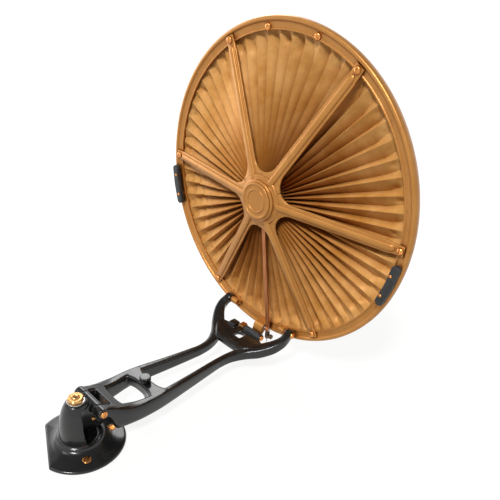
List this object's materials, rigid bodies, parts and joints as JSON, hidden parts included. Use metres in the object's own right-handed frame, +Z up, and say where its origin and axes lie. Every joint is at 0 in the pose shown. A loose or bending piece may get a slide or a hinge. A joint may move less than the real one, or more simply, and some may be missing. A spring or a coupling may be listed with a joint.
{
  "type": "pleated diaphragm loudspeaker",
  "caption": "Gilt pleated-paper diaphragm in a round rim with a spoked spider, hinged in the fork of a cast arm that lifts and swivels on a screwed-down base, driven by a needle bar.",
  "frame": {"origin": "on the underside of the base, on the swivel axis", "axes": "+Z up along the swivel axis, +X along the arm towards the diaphragm, +Y to the diaphragm's left seen from its front"},
  "size_m": [0.3454, 0.384, 0.4207],
  "materials": {
    "black_japan": "gloss",
    "gold_bronze_paint": "satin",
    "gilt_paper": "satin",
    "brass": "polished",
    "steel": "satin",
    "black_rubber": "matte",
    "cork": "matte",
    "copper_lacquer": "satin"
  },
  "bodies": {
    "base": {"base_casting": "black_japan", "base_screw_1": "brass", "base_screw_2": "brass", "base_screw_3": "brass", "upper_pivot_screw": "brass", "pivot_washer": "steel", "pivot_locknut": "brass", "pivot_cup": "steel"},
    "swivel": {"swivel_block": "black_japan", "lower_pivot": "steel", "hinge_pin": "steel", "neck_screw": "brass"},
    "arm": {"carrying_arm": "black_japan", "hinge_end_screw_left": "brass", "hinge_end_screw_right": "brass", "fork_pivot_screw_left": "brass", "fork_pivot_screw_right": "brass", "fork_locknut_left": "brass", "fork_locknut_right": "brass", "rest_block": "brass", "rest_roller": "black_rubber", "rest_pin": "brass", "stop_nut": "steel"},
    "stop": {"stop_screw": "black_japan"},
    "reproducer": {"rim_front_ring": "gold_bronze_paint", "rim_back_ring": "gold_bronze_paint", "spider": "gold_bronze_paint", "hub_cap": "gold_bronze_paint", "foot_screw_1": "brass", "foot_screw_2": "brass", "foot_screw_3": "brass", "foot_screw_4": "brass", "foot_screw_5": "brass", "foot_screw_6": "brass", "rim_screw_left": "brass", "rim_screw_right": "brass", "pleated_diaphragm": "gilt_paper", "buffer_left": "black_rubber", "buffer_right": "black_rubber", "buffer_pin_left_1": "brass", "buffer_pin_left_2": "brass", "buffer_pin_right_1": "brass", "buffer_pin_right_2": "brass", "hinge_lug_left": "gold_bronze_paint", "hinge_lug_right": "gold_bronze_paint", "bar_bracket": "gold_bronze_paint"},
    "needle_lever": {"needle_bar": "copper_lacquer", "rocker_shaft": "steel", "bar_screw": "brass", "centre_clamp": "cork", "needle_socket": "steel", "needle": "steel"},
    "needle_clamp": {"needle_clamp_screw": "steel"}
  },
  "joints": [
    {"name": "swivel_turn", "type": "hinge", "parent": "base", "child": "swivel", "pos_m": [0, 0, 0], "axis": [0, 0, 1], "range_deg": [-32, 32]},
    {"name": "arm_lift", "type": "hinge", "parent": "swivel", "child": "arm", "pos_m": [0.0175, 0, 0.048], "axis": [0, -1, 0], "range_deg": [0, 30]},
    {"name": "stop_turn", "type": "hinge", "parent": "arm", "child": "stop", "pos_m": [0.0895, 0, 0.0388], "axis": [0, 0, 1], "range_deg": [-180, 180]},
    {"name": "diaphragm_fold", "type": "hinge", "parent": "arm", "child": "reproducer", "pos_m": [0.28, 0, 0.056], "axis": [0, -1, 0], "range_deg": [0, 80]},
    {"name": "bar_rock", "type": "hinge", "parent": "reproducer", "child": "needle_lever", "pos_m": [0.274, 0, 0.04816], "axis": [0, 1, 0], "range_deg": [-0.2, 0.2], "stiffness_Nm_per_rad": 10},
    {"name": "clamp_turn", "type": "hinge", "parent": "needle_lever", "child": "needle_clamp", "pos_m": [0.274, -0.02549, 0.03876], "axis": [0, -1, 0], "range_deg": [0, 270]}
  ]
}
